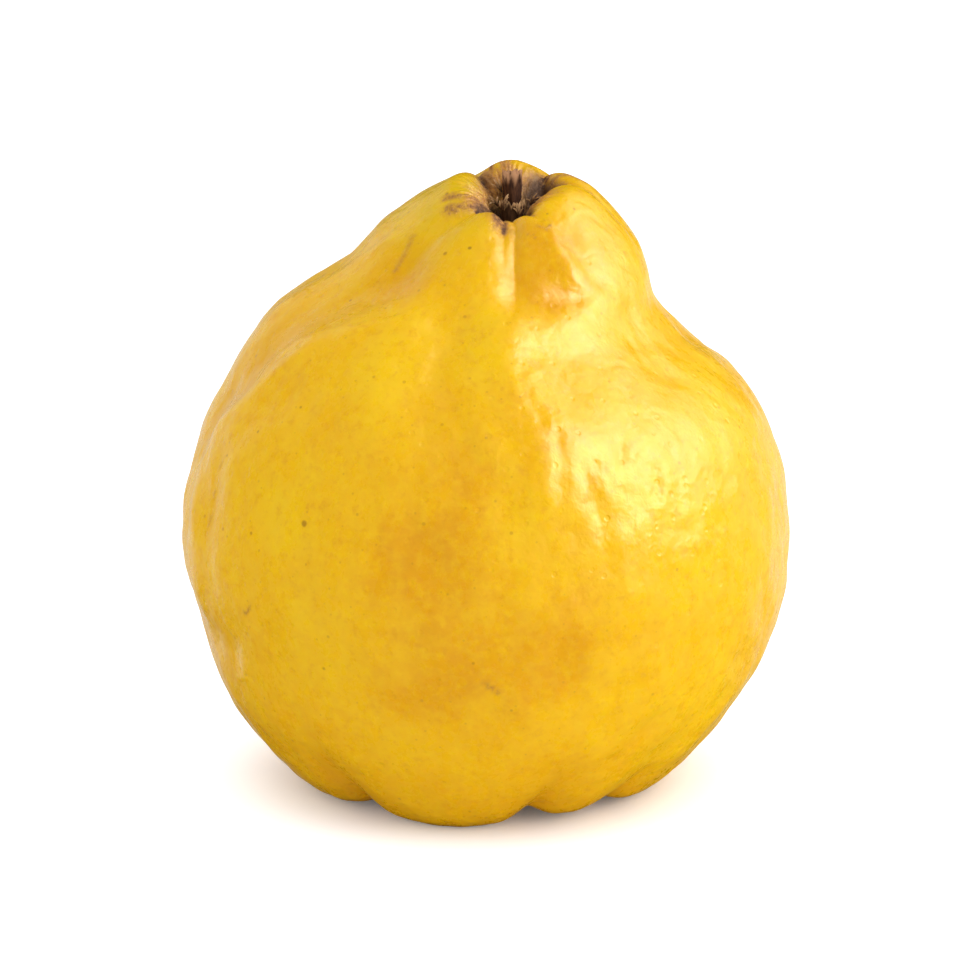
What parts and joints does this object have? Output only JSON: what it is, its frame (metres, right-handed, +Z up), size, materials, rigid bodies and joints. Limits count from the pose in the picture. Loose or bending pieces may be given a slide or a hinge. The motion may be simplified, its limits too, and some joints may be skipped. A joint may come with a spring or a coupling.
{
  "type": "quince",
  "caption": "Ripe yellow quince standing on the lobes round its eye, with plump folds puckered round a pit that holds a broken stalk and dry bark.",
  "frame": {"origin": "middle of the fruit's bounding box on the floor that it rests on", "axes": "+Z up from the eye to the stalk end, -Y the front, towards which the stalk's pit leans, +X to the right seen from the front"},
  "size_m": [0.092, 0.0908, 0.0934],
  "materials": {
    "skin": "smooth ripe skin, satin to glossy, finely bumped, golden yellow with faint olive near the stalk",
    "dry_wood": "dry, dark brown, fibrous and matt",
    "dry_bark": "dry, tan, papery and matt",
    "dry_leaf": "dried brown leaf, matt, felted"
  },
  "bodies": {
    "root": {"quince_fruit": "skin", "stalk_stub": "dry_wood", "torn_bark_1": "dry_bark", "torn_bark_2": "dry_bark", "torn_bark_3": "dry_bark", "torn_bark_4": "dry_bark", "torn_bark_5": "dry_bark", "sepal_1": "dry_leaf", "sepal_2": "dry_leaf", "sepal_3": "dry_leaf", "sepal_4": "dry_leaf", "sepal_5": "dry_leaf", "dried_stamens": "dry_wood"}
  },
  "joints": []
}
